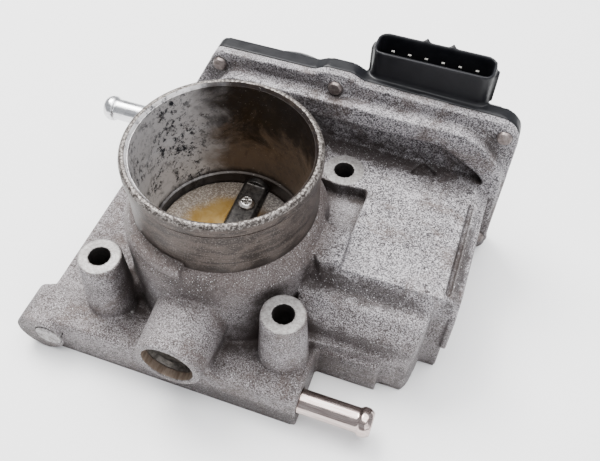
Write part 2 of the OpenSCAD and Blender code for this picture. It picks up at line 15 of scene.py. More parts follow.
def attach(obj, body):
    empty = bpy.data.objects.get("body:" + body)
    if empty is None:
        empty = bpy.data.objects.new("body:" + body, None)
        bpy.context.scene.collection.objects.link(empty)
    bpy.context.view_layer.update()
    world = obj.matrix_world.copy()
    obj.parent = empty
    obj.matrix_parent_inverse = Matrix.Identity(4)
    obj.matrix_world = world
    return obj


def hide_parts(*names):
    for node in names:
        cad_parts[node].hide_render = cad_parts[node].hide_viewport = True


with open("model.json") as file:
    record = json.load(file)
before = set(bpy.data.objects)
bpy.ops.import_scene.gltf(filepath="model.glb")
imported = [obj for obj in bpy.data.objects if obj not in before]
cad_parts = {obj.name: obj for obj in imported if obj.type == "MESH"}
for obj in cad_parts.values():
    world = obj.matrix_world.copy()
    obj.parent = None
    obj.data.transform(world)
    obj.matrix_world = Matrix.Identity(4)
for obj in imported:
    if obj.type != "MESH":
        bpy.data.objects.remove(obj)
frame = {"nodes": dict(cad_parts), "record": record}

LOG = logging.getLogger("throttle_body")
MM = 0.001
Colour = tuple[float, float, float]
Profile = Sequence[tuple[float, float]]


class Body(Enum):
    """The rigid bodies that the pieces made here ride on."""

    HOUSING = "body"
    THROTTLE = "throttle"


class Axis(Enum):
    """Direction that a turned piece's axis points in."""

    UP = "up"
    RIGHT = "right"
    LEFT = "left"
    FRONT = "front"
    BACK = "back"

    def matrix(self) -> Matrix:
        """Rotation that takes +Z to this direction."""
        turns = {
            Axis.UP: Matrix.Identity(4),
            Axis.RIGHT: Matrix.Rotation(math.pi / 2, 4, "Y"),
            Axis.LEFT: Matrix.Rotation(-math.pi / 2, 4, "Y"),
            Axis.FRONT: Matrix.Rotation(math.pi / 2, 4, "X"),
            Axis.BACK: Matrix.Rotation(-math.pi / 2, 4, "X"),
        }
        return turns[self]


# ---------------------------------------------------------------- shader bench


class Bench:
    """Small helper that places and links nodes in one node tree."""

    def __init__(self, tree: bpy.types.NodeTree) -> None:
        """Args:
        tree: the node tree to work in.
        """
        self.tree = tree

    def add(self, kind: str, inputs: dict | None = None, **settings) -> bpy.types.Node:
        """Places a node.

        Args:
            kind: the node's type name without its ShaderNode prefix.
            inputs: values or sockets by input name or index.
            settings: attributes set on the node itself.

        Returns:
            The new node.
        """
        node = self.tree.nodes.new("ShaderNode" + kind)
        for name, value in settings.items():
            setattr(node, name, value)
        for key, value in (inputs or {}).items():
            self.feed(node.inputs[key], value)
        return node

    def feed(self, socket: bpy.types.NodeSocket, value) -> None:
        """Links a socket to the input, or sets its plain value."""
        if isinstance(value, bpy.types.NodeSocket):
            self.tree.links.new(value, socket)
        elif isinstance(value, tuple) and len(value) == 3 and socket.type == "RGBA":
            socket.default_value = (*value, 1.0)
        else:
            socket.default_value = value

    def math(self, operation: str, a, b=0.0, clamp: bool = False) -> bpy.types.NodeSocket:
        """Returns the result of a math node on a and b."""
        return self.add("Math", {0: a, 1: b}, operation=operation, use_clamp=clamp).outputs[0]

    def noise(self, place, scale: float, detail: float = 3.0, rough: float = 0.55,
              bend: float = 0.0) -> bpy.types.NodeSocket:
        """Returns a noise value from 0 to 1 at the place given."""
        return self.add("TexNoise", {"Vector": place, "Scale": scale, "Detail": detail,
                                     "Roughness": rough, "Distortion": bend}).outputs["Fac"]

    def span(self, value, low: float, high: float, to_low: float = 0.0,
             to_high: float = 1.0) -> bpy.types.NodeSocket:
        """Returns value mapped smoothly from low..high to to_low..to_high and held outside."""
        node = self.add("MapRange", {"Value": value, "From Min": low, "From Max": high,
                                     "To Min": to_low, "To Max": to_high})
        node.interpolation_type = "SMOOTHSTEP"
        return node.outputs["Result"]

    def mix(self, factor, a, b) -> bpy.types.NodeSocket:
        """Returns the colour a mixed towards b by factor."""
        node = self.add("Mix", data_type="RGBA")
        for socket, value in zip((node.inputs[0], node.inputs[6], node.inputs[7]), (factor, a, b)):
            self.feed(socket, value)
        return node.outputs[2]

    def place(self) -> bpy.types.NodeSocket:
        """Returns the object's own coordinates, in metres."""
        return self.add("TexCoord").outputs["Object"]

    def parts(self, vector) -> tuple:
        """Returns the X, Y and Z sockets of a vector."""
        return tuple(self.add("SeparateXYZ", {0: vector}).outputs)

    def stretched(self, place, scale: Sequence[float]) -> bpy.types.NodeSocket:
        """Returns the place scaled by a factor along each axis."""
        return self.add("Mapping", {"Vector": place, "Scale": tuple(scale)}).outputs[0]


def new_group(name: str, inputs: dict[str, object], outputs: dict[str, str]) -> tuple:
    """Makes a shader node group with named sockets.

    Args:
        name: the group's name.
        inputs: default value by input name: a number, or a colour of three numbers.
        outputs: socket kind, "Float" or "Color", by output name.

    Returns:
        The group, its bench, its input node and its output node.
    """
    group = bpy.data.node_groups.new(name, "ShaderNodeTree")
    for label, value in inputs.items():
        colour = isinstance(value, tuple)
        kind = "Color" if colour else "Float"
        socket = group.interface.new_socket(label, in_out="INPUT", socket_type="NodeSocket" + kind)
        socket.default_value = (*value, 1.0) if colour else value
    for label, kind in outputs.items():
        group.interface.new_socket(label, in_out="OUTPUT", socket_type="NodeSocket" + kind)
    return (group, Bench(group), group.nodes.new("NodeGroupInput"),
            group.nodes.new("NodeGroupOutput"))


class Effects:
    """Shared surface effects, each a node group that is built once."""

    def __init__(self) -> None:
        """Builds every group."""
        self.grain = self._grain()
        self.shade_and_grime = self._crease_shade_and_grime()
        self.turning = self._turning()
        self.blot = self._blot()
        self.wear = self._wear()

    def _grain(self) -> bpy.types.NodeTree:
        """Returns the speckle of a sand casting: light and dark grains, blotches and pits."""
        group, b, given, out = new_group(
            "Cast grain", {"Light": (0.7, 0.7, 0.7), "Dark": (0.3, 0.3, 0.3), "Grain Scale": 1500.0,
                           "Blotch": 0.4}, {"Color": "Color", "Height": "Float", "Pits": "Float"})
        at = b.place()
        fine = b.add("TexNoise", {"Vector": at, "Scale": given.outputs["Grain Scale"],
                                  "Detail": 3.0, "Roughness": 0.6}).outputs["Fac"]
        blotch = b.noise(at, 95.0, 4.0, 0.6, 0.6)
        pits = b.span(b.noise(at, 620.0, 2.0, 0.5), 0.6, 0.72)
        tone = b.math("ADD", b.span(fine, 0.40, 0.62, 0.0, 1.0),
                      b.math("MULTIPLY", b.math("SUBTRACT", blotch, 0.5), given.outputs["Blotch"]))
        tone = b.math("SUBTRACT", tone, b.math("MULTIPLY", pits, 0.35), clamp=True)
        b.feed(out.inputs["Color"], b.mix(tone, given.outputs["Dark"], given.outputs["Light"]))
        b.feed(out.inputs["Height"], b.math("SUBTRACT", fine, b.math("MULTIPLY", pits, 0.8)))
        b.feed(out.inputs["Pits"], pits)
        return group

    def _crease_shade_and_grime(self) -> bpy.types.NodeTree:
        """Returns painted shade in creases, from ambient occlusion, and dirt in loose patches."""
        group, b, given, out = new_group(
            "Crease shade and grime", {"Color": (0.6, 0.6, 0.6), "Shade And Grime": (0.1, 0.07, 0.05), "Reach": 0.006,
                             "Amount": 0.8, "Patches": 0.2}, {"Color": "Color", "Mask": "Float"})
        at = b.place()
        # Painted shade: ambient occlusion darkens creases and hollows; the noise patches below are dirt.
        hollow = b.add("AmbientOcclusion", {"Distance": given.outputs["Reach"]}, samples=8)
        crease = b.span(b.math("SUBTRACT", 1.0, hollow.outputs["AO"]), 0.2, 0.62)
        crease = b.math("MULTIPLY", crease, b.span(b.noise(at, 260.0, 4.0, 0.65), 0.25, 0.6, 0.35, 1.0))
        patch = b.span(b.noise(at, 48.0, 5.0, 0.7, 1.2), 0.55, 0.75)
        mask = b.math("ADD", b.math("MULTIPLY", crease, given.outputs["Amount"]),
                      b.math("MULTIPLY", patch, given.outputs["Patches"]), clamp=True)
        b.feed(out.inputs["Color"], b.mix(mask, given.outputs["Color"], given.outputs["Shade And Grime"]))
        b.feed(out.inputs["Mask"], mask)
        return group

    def _blot(self) -> bpy.types.NodeTree:
        """Returns one ragged blot around a place, as a mask, for stains and painted shadows alike."""
        group, b, given, out = new_group(
            "Ragged stain and shadow", {"X": 0.0, "Y": 0.0, "Z": 0.0, "Wide": 0.01, "Deep": 0.01, "High": 0.01,
                             "Amount": 0.8}, {"Mask": "Float"})
        at = b.place()
        middle = b.add("CombineXYZ", {i: given.outputs[i] for i in range(3)}).outputs[0]
        reach = b.add("CombineXYZ", {i: given.outputs[i + 3] for i in range(3)}).outputs[0]
        away = b.add("VectorMath", {0: at, 1: middle}, operation="SUBTRACT").outputs[0]
        away = b.add("VectorMath", {0: away, 1: reach}, operation="DIVIDE").outputs[0]
        away = b.add("VectorMath", {0: away}, operation="LENGTH").outputs["Value"]
        rag = b.math("MULTIPLY", b.math("SUBTRACT", b.noise(at, 330.0, 6.0, 0.75), 0.5), 2.6)
        near = b.math("SUBTRACT", 1.0, b.span(b.math("ADD", away, rag), 0.45, 1.15))
        b.feed(out.inputs["Mask"], b.math("MULTIPLY", near, given.outputs["Amount"], clamp=True))
        return group

    def _turning(self) -> bpy.types.NodeTree:
        """Returns fine lines left by a lathe around the bore axis, with smears along them."""
        group, b, given, out = new_group("Turning lines", {"Pitch": 1.0}, {"Lines": "Float",
                                                                          "Smears": "Float"})
        x, y, z = b.parts(b.place())
        angle = b.math("ARCTAN2", y, x)
        around = b.add("CombineXYZ", {0: angle, 1: b.math("MULTIPLY", z, 1400.0), 2: 0.0}).outputs[0]
        slow = b.add("CombineXYZ", {0: b.math("MULTIPLY", angle, 2.6),
                                    1: b.math("MULTIPLY", z, 130.0), 2: 0.0}).outputs[0]
        lines = b.add("TexNoise", {"Vector": around, "Scale": given.outputs["Pitch"],
                                   "Detail": 3.0, "Roughness": 0.6}).outputs["Fac"]
        b.feed(out.inputs["Lines"], lines)
        b.feed(out.inputs["Smears"], b.noise(slow, 2.0, 5.0, 0.65, 0.5))
        return group

    def _wear(self) -> bpy.types.NodeTree:
        """Returns where edges are rubbed bright."""
        group, b, given, out = new_group("Edge wear", {"Amount": 0.5}, {"Mask": "Float"})
        sharp = b.span(b.add("NewGeometry").outputs["Pointiness"], 0.515, 0.6)
        broken = b.span(b.noise(b.place(), 520.0, 4.0, 0.7), 0.35, 0.65)
        b.feed(out.inputs["Mask"], b.math("MULTIPLY", b.math("MULTIPLY", sharp, broken),
                                          given.outputs["Amount"], clamp=True))
        return group


class Surface:
    """One material in the making: a Principled shader with a bench to feed it."""

    def __init__(self, name: str, effects: Effects) -> None:
        """Args:
        name: the material's name.
        effects: the shared effect groups.
        """
        self.material = bpy.data.materials.new(name)
        self.material.use_nodes = True
        tree = self.material.node_tree
        self.b = Bench(tree)
        self.shader = tree.nodes["Principled BSDF"]
        self.effects = effects

    def use(self, group: bpy.types.NodeTree, inputs: dict | None = None) -> bpy.types.Node:
        """Returns a shared effect placed in this material."""
        node = self.b.add("Group", node_tree=group)
        for key, value in (inputs or {}).items():
            self.b.feed(node.inputs[key], value)
        return node

    def finish(self, colour, rough, metal: float = 0.0, height=None, depth: float = 0.1,
               strength: float = 0.5, **plain: float) -> bpy.types.Material:
        """Feeds the shader and returns the material.

        Args:
            colour: base colour or its socket.
            rough: roughness or its socket.
            metal: metallic share.
            height: socket of the bump height, if any.
            depth: how deep the bump is, in millimetres.
            strength: how strongly the bump shows.
            plain: further shader inputs, with underscores for spaces.

        Returns:
            The finished material.
        """
        self.b.feed(self.shader.inputs["Base Color"], colour)
        self.b.feed(self.shader.inputs["Roughness"], rough)
        self.b.feed(self.shader.inputs["Metallic"], metal)
        for name, value in plain.items():
            self.b.feed(self.shader.inputs[name.replace("_", " ")], value)
        if height is not None:
            bump = self.b.add("Bump", {"Height": height, "Strength": strength, "Distance": depth * MM})
            self.b.feed(self.shader.inputs["Normal"], bump.outputs[0])
        return self.material


# ---------------------------------------------------------------- finishes


@dataclass(frozen=True)
class CastAlloyFinish:
    """Sand-cast aluminium, speckled, with dirt and painted shade in its creases, painted shadows and
    painted glints.
    """

    light: Colour = (0.43, 0.41, 0.425)
    dark: Colour = (0.028, 0.024, 0.027)
    # Near-black painted shade for the tight crease pass.
    shade_and_grime: Colour = (0.017, 0.010, 0.008)
    brown: Colour = (0.075, 0.054, 0.046)
    # Dark brown for the spots, stains and painted shadows alike, and for the broad painted shade in
    # hollows.
    deep_brown: Colour = (0.022, 0.015, 0.014)
    painted_glint: Colour = (0.85, 0.85, 0.86)
    # Spots of stain and of painted shadow, such as the painted shadow under the gear case ridge and on
    # the slope's front.
    # Each spot's centre x, y, z and its width, depth and height in millimetres, then its amount.
    spots: tuple[tuple[float, ...], ...] = (
        (38, 40, 42, 34, 5, 6, 0.9), (14, 37, 45, 14, 7, 9, 0.9), (62, 36, 44, 12, 6, 6, 0.6),
        (50, -11.5, 36, 22, 4.5, 6, 0.75), (34, -11, 37, 8, 5, 8, 0.9), (52, -21, 22, 18, 4, 5, 0.65),
        (75, 6, 38, 3, 20, 8, 0.85), (36, 22.5, 39, 8, 2.5, 5, 0.85), (69, -17, 12, 6, 6, 10, 0.7),
        (-56, -43, 8, 8, 8, 10, 0.7), (25, -45, 4, 34, 3, 5, 0.75), (-36, -22, 18, 9, 9, 7, 0.7),
        (-22, -26, 30, 10, 10, 12, 0.6), (4, -33, 42, 12, 6, 6, 0.6), (22, -28, 22, 9, 7, 10, 0.7),
        (-24, 42, 60, 7, 5, 7, 0.8), (66, 43, 52, 14, 4, 8, 0.55), (0, -50, 22, 9, 4, 9, 0.5),
    )

    def make(self, effects: Effects) -> bpy.types.Material:
        """Returns the material."""
        s = Surface("Cast alloy", effects)
        grain = s.use(effects.grain, {"Light": self.light, "Dark": self.dark, "Blotch": 0.9,
                                     "Grain Scale": 2500.0})
        at = s.b.place()
        smear = s.b.span(s.b.noise(at, 55.0, 7.0, 0.8, 1.2), 0.49, 0.64, 0.0, 0.7)
        stained_and_shaded = s.b.mix(smear, grain.outputs["Color"], self.brown)
        px, py, pz = s.b.parts(at)
        # Browner towards the bottom, and painted shade on the faces that look to the front, away from the
        # light.
        low = s.b.math("ADD", pz, s.b.math("MULTIPLY", smear, 0.01))
        deep_brown = s.b.math("SUBTRACT", 0.42, s.b.span(low, 0.018, 0.044, 0.0, 0.42))
        front_shade = s.b.span(s.b.math("MULTIPLY", py, -1.0), 0.012, 0.044, 0.0, 0.38)
        stained_and_shaded = s.b.mix(s.b.math("MAXIMUM", deep_brown, front_shade), stained_and_shaded, self.brown)
        flat = s.b.add("CombineXYZ", {0: px, 1: py}).outputs[0]
        out = s.b.add("VectorMath", {0: flat}, operation="LENGTH").outputs["Value"]
        out = s.b.math("ADD", out, s.b.math("MULTIPLY", smear, 0.004))
        foot = s.b.math("MULTIPLY", s.b.math("SUBTRACT", 1.0, s.b.span(out, 0.031, 0.041)),
                        s.b.span(pz, 0.026, 0.044, 0.0, 0.72))
        stained_and_shaded = s.b.mix(foot, stained_and_shaded, self.brown)
        # Each spot darkens the colour: real stains, and painted shadow under the gear case ridge and on
        # the slope's front.
        for x, y, z, wide, deep, high, amount in self.spots:
            blot = s.use(effects.blot, {"X": x * MM, "Y": y * MM, "Z": z * MM, "Wide": wide * MM,
                                        "Deep": deep * MM, "High": high * MM, "Amount": amount})
            stained_and_shaded = s.b.mix(blot.outputs["Mask"], stained_and_shaded, self.deep_brown)
        # Painted highlight: bright glints on single grains of the casting.
        glint = s.b.span(s.b.noise(at, 2600.0, 1.0, 0.5), 0.68, 0.74, 0.0, 0.8)
        stained_and_shaded = s.b.mix(glint, stained_and_shaded, self.painted_glint)
        # Painted shade: a broad ambient-occlusion pass browns the hollows, with dirt patches, then a
        # tight pass paints near-black shade in the creases.
        broad_shade_and_grime = s.use(effects.shade_and_grime, {"Color": stained_and_shaded, "Shade And Grime": self.deep_brown, "Reach": 0.022,
                                     "Amount": 0.6, "Patches": 0.3})
        shaded_and_dirty = s.use(effects.shade_and_grime, {"Color": broad_shade_and_grime.outputs["Color"], "Shade And Grime": self.shade_and_grime,
                                      "Reach": 0.006, "Amount": 1.3, "Patches": 0.0})
        worn = s.use(effects.wear, {"Amount": 0.5})
        colour = s.b.mix(worn.outputs["Mask"], shaded_and_dirty.outputs["Color"], (0.60, 0.59, 0.58))
        rough = s.b.span(shaded_and_dirty.outputs["Mask"], 0.0, 1.0, 0.58, 0.8)
        metal = s.b.span(shaded_and_dirty.outputs["Mask"], 0.0, 0.7, 0.25, 0.0)
        return s.finish(colour, rough, metal, grain.outputs["Height"], 0.35, 0.8)


@dataclass(frozen=True)
class MachinedFinish:
    """Milled or turned faces of the casting."""

    light: Colour = (0.25, 0.24, 0.235)
    dark: Colour = (0.11, 0.10, 0.095)
    name: str = "Machined alloy"

    def make(self, effects: Effects) -> bpy.types.Material:
        """Returns the material."""
        s = Surface(self.name, effects)
        at = s.b.place()
        marks = s.b.noise(at, 1500.0, 4.0, 0.7)
        spots = s.b.noise(at, 160.0, 4.0, 0.6)
        colour = s.b.mix(s.b.span(marks, 0.3, 0.7), self.dark, self.light)
        # Painted shade in tight creases, with dirt patches.
        shaded_and_dirty = s.use(effects.shade_and_grime, {"Color": colour, "Shade And Grime": (0.2, 0.16, 0.12),
                                      "Reach": 0.003, "Amount": 0.7, "Patches": 0.25})
        rough = s.b.span(spots, 0.3, 0.7, 0.34, 0.52)
        return s.finish(shaded_and_dirty.outputs["Color"], rough, 0.3, marks, 0.05, 0.25)


@dataclass(frozen=True)
class CollarFinish:
    """Turned outside of the intake collar, browned by heat and oil."""

    clean: Colour = (0.068, 0.052, 0.044)
    brown: Colour = (0.018, 0.012, 0.0095)
    stain: Colour = (0.012, 0.007, 0.005)

    def make(self, effects: Effects) -> bpy.types.Material:
        """Returns the material."""
        s = Surface("Turned collar", effects)
        at = s.b.place()
        z = s.b.parts(at)[2]
        turned = s.use(effects.turning, {"Pitch": 1.0})
        tone = s.b.math("ADD", s.b.math("MULTIPLY", turned.outputs["Lines"], 0.5),
                        s.b.math("MULTIPLY", turned.outputs["Smears"], 0.6))
        colour = s.b.mix(s.b.span(tone, 0.46, 0.64), self.brown, self.clean)
        specks = s.b.span(s.b.noise(at, 2300.0, 3.0, 0.6), 0.54, 0.68)
        colour = s.b.mix(s.b.math("MULTIPLY", specks, 0.4), colour, (0.24, 0.21, 0.19))
        low = s.b.math("ADD", z, s.b.math("MULTIPLY", turned.outputs["Smears"], 0.006))
        ring = s.b.math("SUBTRACT", 1.0, s.b.span(low, 0.0515, 0.0555))
        colour = s.b.mix(s.b.math("MULTIPLY", ring, 0.85), colour, self.stain)
        high = s.b.span(s.b.math("ADD", z, s.b.math("MULTIPLY", specks, 0.0012)), 0.0692, 0.0702)
        bright = s.b.mix(s.b.span(s.b.noise(at, 1300.0, 4.0, 0.72), 0.44, 0.6),
                         (0.03, 0.024, 0.021), (0.24, 0.22, 0.205))
        colour = s.b.mix(high, colour, bright)
        rough = s.b.span(tone, 0.3, 0.8, 0.38, 0.6)
        return s.finish(colour, rough, 0.55, turned.outputs["Lines"], 0.06, 0.4)


@dataclass(frozen=True)
class BoreFinish:
    """Inside of the intake: brown with oil and painted shade on one side, pale and pitted on the other.
    """

    pale: Colour = (0.66, 0.64, 0.64)
    tan: Colour = (0.15, 0.105, 0.072)
    # Near-black of oil and painted shade, towards the mouth on the right side.
    oil: Colour = (0.014, 0.0085, 0.006)
    pit: Colour = (0.018, 0.02, 0.028)

    def make(self, effects: Effects) -> bpy.types.Material:
        """Returns the material."""
        s = Surface("Bore with oil and painted shade", effects)
        b = s.b
        at = b.place()
        x, _, z = b.parts(at)
        turned = s.use(effects.turning, {"Pitch": 0.7})
        # The right side takes oil and painted shade, tan low down and near-black towards the mouth; the
        # left side stays pale.
        wander = b.math("MULTIPLY", b.math("SUBTRACT", b.noise(at, 70.0, 5.0, 0.65, 0.8), 0.5), 0.022)
        side = b.span(b.math("ADD", x, wander), -0.022, -0.008)
        cloud = b.math("MULTIPLY", b.math("SUBTRACT", b.noise(at, 62.0, 7.0, 0.75, 0.7), 0.5), 0.085)
        depth = b.span(b.math("ADD", z, cloud), 0.040, 0.060)
        oily_and_shaded = b.mix(depth, self.tan, self.oil)
        colour = b.mix(side, self.pale, oily_and_shaded)
        specks = b.span(b.noise(at, 420.0, 7.0, 0.8), 0.49, 0.57)
        crowd = b.span(b.noise(at, 90.0, 3.0, 0.6), 0.33, 0.55)
        specks = b.math("MULTIPLY", b.math("MULTIPLY", specks, crowd),
                        b.math("SUBTRACT", 1.0, b.math("MULTIPLY", side, 0.75)))
        colour = b.mix(specks, colour, self.pit)
        streaks = b.span(turned.outputs["Smears"], 0.5, 0.78, 0.0, 0.3)
        colour = b.mix(streaks, colour, (0.12, 0.088, 0.06))
        # Painted shade: near-black deep in the bore, below the step.
        step_shade_height = b.math("ADD", z, b.math("MULTIPLY", b.noise(at, 300.0, 5.0, 0.7), 0.004))
        below = b.math("SUBTRACT", 1.0, b.span(step_shade_height, 0.0332, 0.0362))
        colour = b.mix(b.math("MULTIPLY", below, 0.92), colour, (0.014, 0.010, 0.008))
        dust = b.span(b.noise(at, 1900.0, 2.0, 0.6), 0.68, 0.74, 0.0, 0.6)
        colour = b.mix(dust, colour, (0.50, 0.47, 0.43))
        rough = b.span(turned.outputs["Smears"], 0.3, 0.7, 0.28, 0.5)
        return s.finish(colour, rough, 0.45, turned.outputs["Lines"], 0.05, 0.3)


@dataclass(frozen=True)
class SteelFinish:
    """Any bare or plated steel, brass or copper piece, by its tones."""

    name: str
    light: Colour
    dark: Colour
    rough: float = 0.3
    metal: float = 1.0
    patches: float = 0.15
    shade_and_grime: Colour = (0.08, 0.06, 0.05)
    streak: tuple[float, float, float] = (1.0, 1.0, 1.0)

    def make(self, effects: Effects) -> bpy.types.Material:
        """Returns the material."""
        s = Surface(self.name, effects)
        at = s.b.place()
        brushed = s.b.noise(s.b.stretched(at, self.streak), 700.0, 4.0, 0.65)
        colour = s.b.mix(s.b.span(brushed, 0.3, 0.7), self.dark, self.light)
        # Painted shade in tight creases, with dirt patches.
        shaded_and_dirty = s.use(effects.shade_and_grime, {"Color": colour, "Shade And Grime": self.shade_and_grime, "Reach": 0.002,
                                      "Amount": 0.8, "Patches": self.patches})
        worn = s.use(effects.wear, {"Amount": 0.4})
        colour = s.b.mix(worn.outputs["Mask"], shaded_and_dirty.outputs["Color"], self.light)
        rough = s.b.span(s.b.noise(at, 240.0, 4.0, 0.6), 0.3, 0.7, self.rough * 0.75, self.rough * 1.3)
        return s.finish(colour, rough, self.metal, brushed, 0.03, 0.2)


@dataclass(frozen=True)
class MouldedFinish:
    """Moulded plastic, rubber, carbon or lacquer, by its tones."""

    name: str
    base: Colour
    rough: float = 0.4
    dust: Colour = (0.3, 0.29, 0.28)
    dusty: float = 0.12
    pebble: float = 1400.0
    sheen: float = 0.0

    def make(self, effects: Effects) -> bpy.types.Material:
        """Returns the material."""
        s = Surface(self.name, effects)
        at = s.b.place()
        pebble = s.b.noise(at, self.pebble, 2.0, 0.5)
        patch = s.b.span(s.b.noise(at, 85.0, 5.0, 0.7, 0.8), 0.5, 0.8, 0.0, self.dusty)
        colour = s.b.mix(patch, self.base, self.dust)
        lighter = tuple(min(1.0, c * 1.5 + 0.002) for c in self.base)
        colour = s.b.mix(s.b.span(s.b.noise(at, 330.0, 4.0, 0.6), 0.4, 0.7, 0.0, 0.4), colour, lighter)
        worn = s.use(effects.wear, {"Amount": 0.25})
        colour = s.b.mix(worn.outputs["Mask"], colour, self.dust)
        rough = s.b.span(s.b.noise(at, 190.0, 4.0, 0.6), 0.3, 0.7, self.rough * 0.8, self.rough * 1.25)
        return s.finish(colour, rough, 0.0, pebble, 0.04, 0.25, Coat_Weight=self.sheen,
                        Specular_IOR_Level=0.25)


@dataclass(frozen=True)
class ButterflyFinish:
    """Brass-toned butterfly with an ochre oil stain, a grey, speckled rim and painted shadow over its
    right half.
    """

    ochre: Colour = (0.19, 0.105, 0.015)
    pale: Colour = (0.25, 0.165, 0.055)
    rim: Colour = (0.12, 0.11, 0.105)
    radius: float = 0.02475

    def make(self, effects: Effects) -> bpy.types.Material:
        """Returns the material."""
        s = Surface("Stained butterfly with painted shadow", effects)
        b = s.b
        at = b.place()
        x, y, _ = b.parts(at)
        spread = b.add("VectorMath", {0: b.add("CombineXYZ", {0: x, 1: y}).outputs[0]},
                       operation="LENGTH").outputs["Value"]
        spread = b.math("ADD", spread, b.math("MULTIPLY", b.math(
            "SUBTRACT", b.noise(at, 120.0, 5.0, 0.7), 0.5), 0.008))
        tone = b.noise(at, 210.0, 5.0, 0.65, 0.6)
        colour = b.mix(b.span(tone, 0.35, 0.7), self.ochre, self.pale)
        # Painted shadow: the plate's right half, past the shaft, goes near-black.
        right = b.span(b.math("ADD", x, b.math("MULTIPLY", tone, 0.006)), 0.003, 0.009, 0.0, 0.93)
        colour = b.mix(right, colour, (0.045, 0.03, 0.02))
        edge = b.span(spread, self.radius - 0.0105, self.radius - 0.005)
        speck = b.span(b.noise(at, 1600.0, 4.0, 0.7), 0.46, 0.6)
        grey = b.mix(speck, self.rim, (0.36, 0.33, 0.30))
        colour = b.mix(b.math("MULTIPLY", edge, 0.8), colour, grey)
        rough = b.span(tone, 0.3, 0.7, 0.3, 0.5)
        return s.finish(colour, rough, 0.55, speck, 0.03, 0.25)


# ---------------------------------------------------------------- mesh making


@dataclass
class MeshData:
    """Points and faces of one mesh, worked on as arrays."""

    obj: bpy.types.Object
    points: np.ndarray = field(init=False)

    def __post_init__(self) -> None:
        """Reads the points out of the mesh."""
        self.points = np.empty(len(self.obj.data.vertices) * 3)
        self.obj.data.vertices.foreach_get("co", self.points)
        self.points = self.points.reshape(-1, 3)

    def smooth(self, rounds: int, weight: np.ndarray, share: float = 0.5) -> None:
        """Relaxes each point towards its neighbours' mean.

        Args:
            rounds: how many times.
            weight: from 0, held, to 1, free, for each point.
            share: how far a free point moves each time.
        """
        mesh = self.obj.data
        ends = np.empty(len(mesh.edges) * 2, np.int64)
        mesh.edges.foreach_get("vertices", ends)
        a, c = ends.reshape(-1, 2).T
        n = len(self.points)
        count = np.maximum(np.bincount(a, minlength=n) + np.bincount(c, minlength=n), 1)
        move = (weight * share)[:, None]
        for _ in range(rounds):
            mean = np.stack([(np.bincount(a, self.points[c, k], n) + np.bincount(c, self.points[a, k], n))
                             / count for k in range(3)], axis=1)
            self.points += (mean - self.points) * move

    def store(self) -> None:
        """Writes the points back into the mesh and shades it smooth."""
        self.obj.data.vertices.foreach_set("co", self.points.ravel())
        self.obj.data.update()
        self.obj.data.polygons.foreach_set("use_smooth", np.ones(len(self.obj.data.polygons), bool))

    def centres(self) -> np.ndarray:
        """Returns the centre of each face."""
        out = np.empty(len(self.obj.data.polygons) * 3)
        self.obj.data.polygons.foreach_get("center", out)
        return out.reshape(-1, 3)

    def normals(self) -> np.ndarray:
        """Returns the normal of each face."""
        out = np.empty(len(self.obj.data.polygons) * 3)
        self.obj.data.polygons.foreach_get("normal", out)
        return out.reshape(-1, 3)


def link(name: str, mesh: bpy.types.Mesh) -> bpy.types.Object:
    """Returns a new object of this mesh, in the scene."""
    obj = bpy.data.objects.new(name, mesh)
    bpy.context.scene.collection.objects.link(obj)
    return obj


def welded_copy(node: str, name: str) -> bpy.types.Object:
    """Returns a new object with a CAD node's shape, its split corners joined."""
    bm = bmesh.new()
    bm.from_mesh(frame["nodes"][node].data)
    bmesh.ops.remove_doubles(bm, verts=bm.verts, dist=1e-7)
    mesh = bpy.data.meshes.new(name)
    bm.to_mesh(mesh)
    bm.free()
    return link(name, mesh)


def with_modifier(obj: bpy.types.Object, kind: str, **settings) -> None:
    """Adds a modifier and turns its result into the object's own mesh."""
    modifier = obj.modifiers.new(kind.title(), kind)
    for key, value in settings.items():
        setattr(modifier, key, value)
    graph = bpy.context.evaluated_depsgraph_get()
    made = bpy.data.meshes.new_from_object(obj.evaluated_get(graph))
    obj.modifiers.clear()
    old, obj.data = obj.data, made
    bpy.data.meshes.remove(old)


def softened(node: str, name: str, voxel: float, rounds: int) -> bpy.types.Object:
    """Copies a CAD node as an even mesh with its edges rounded over.

    Args:
        node: the CAD node.
        name: name of the new piece.
        voxel: mesh size in millimetres.
        rounds: how many times it is relaxed.

    Returns:
        The new object.
    """
    obj = welded_copy(node, name)
    with_modifier(obj, "REMESH", mode="VOXEL", voxel_size=voxel * MM)
    data = MeshData(obj)
    data.smooth(rounds, np.ones(len(data.points)))
    data.store()
    return obj


def turned(name: str, profile: Profile, at: Sequence[float], axis: Axis,
           steps: int = 128) -> bpy.types.Object:
    """Builds a piece on the lathe.

    Args:
        name: name of the new piece.
        profile: radius and height in millimetres, in order round a closed outline.
        at: where the profile's zero height lies, in millimetres.
        axis: direction of rising height.
        steps: faces round the turn.

    Returns:
        The new object.
    """
    bm = bmesh.new()
    rings = []
    for k in range(steps):
        a = 2 * math.pi * k / steps
        rings.append([bm.verts.new((r * MM * math.cos(a), r * MM * math.sin(a), h * MM))
                      for r, h in profile])
    n = len(profile)
    for k in range(steps):
        near, far = rings[k], rings[(k + 1) % steps]
        for i in range(n):
            j = (i + 1) % n
            bm.faces.new((near[i], far[i], far[j], near[j]))
    bmesh.ops.remove_doubles(bm, verts=bm.verts, dist=1e-7)
    bmesh.ops.dissolve_degenerate(bm, edges=bm.edges, dist=1e-8)
    bmesh.ops.recalc_face_normals(bm, faces=bm.faces)
    for face in bm.faces:
        face.smooth = True
    for edge in bm.edges:
        edge.smooth = edge.calc_face_angle(0.0) < 0.6
    bm.transform(Matrix.Translation(Vector(at) * MM) @ axis.matrix())
    mesh = bpy.data.meshes.new(name)
    bm.to_mesh(mesh)
    bm.free()
    return link(name, mesh)


